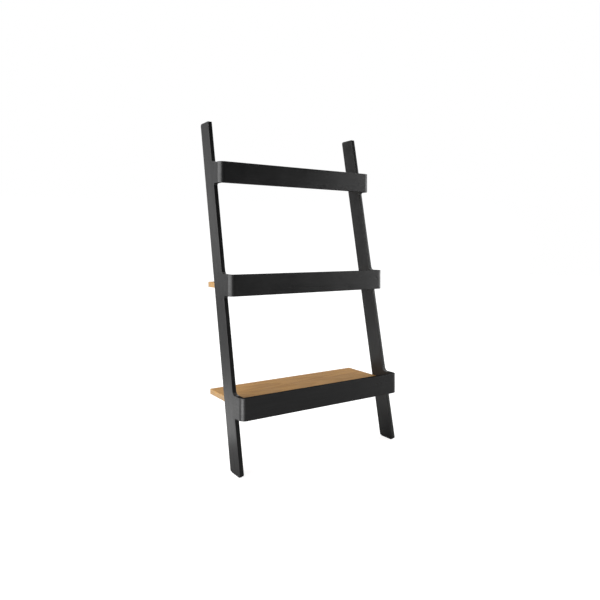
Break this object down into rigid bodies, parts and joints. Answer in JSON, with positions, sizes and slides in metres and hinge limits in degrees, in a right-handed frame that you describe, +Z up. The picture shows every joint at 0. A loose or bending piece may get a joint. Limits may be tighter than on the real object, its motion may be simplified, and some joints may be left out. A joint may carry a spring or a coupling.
{
  "type": "ladder shelf",
  "caption": "Ladder shelf that leans on a wall: flat black side posts, U-shaped black front bands and oak boards set inside them, each board deeper than the one above.",
  "frame": {"origin": "on the floor, midway between the posts and midway between the front of the lowest band and the wall", "axes": "+X along the wall to the right as seen from the front, +Y towards the wall, +Z up"},
  "size_m": [0.7, 0.3442, 1.25],
  "materials": {
    "black_wood": "satin black lacquer over plywood, with faint grain",
    "oak": "matt oiled oak",
    "beech": "plain turned beech",
    "bright_steel": "bright turned steel",
    "zinc_casting": "dull cast zinc",
    "cap_plastic": "matt moulded plastic, oak-coloured",
    "dark_rubber": "matt dark rubber",
    "black_steel": "black powder coat",
    "screw_steel": "bright zinc plate"
  },
  "bodies": {
    "root": {"left_post": "black_wood", "right_post": "black_wood", "top_band": "black_wood", "middle_band": "black_wood", "bottom_band": "black_wood", "top_shelf": "oak", "middle_shelf": "oak", "bottom_shelf": "oak", "top_band_dowels": "beech", "middle_band_dowels": "beech", "bottom_band_dowels": "beech", "top_shelf_dowels": "beech", "middle_shelf_dowels": "beech", "bottom_shelf_dowels": "beech", "top_cam_bolts": "bright_steel", "middle_cam_bolts": "bright_steel", "bottom_cam_bolts": "bright_steel", "top_cam_locks": "zinc_casting", "middle_cam_locks": "zinc_casting", "bottom_cam_locks": "zinc_casting", "top_cam_caps": "cap_plastic", "middle_cam_caps": "cap_plastic", "bottom_cam_caps": "cap_plastic", "left_foot_pad": "dark_rubber", "right_foot_pad": "dark_rubber", "left_wall_bumper": "dark_rubber", "right_wall_bumper": "dark_rubber", "left_wall_bracket": "black_steel", "right_wall_bracket": "black_steel", "bracket_screws": "screw_steel"}
  },
  "joints": []
}
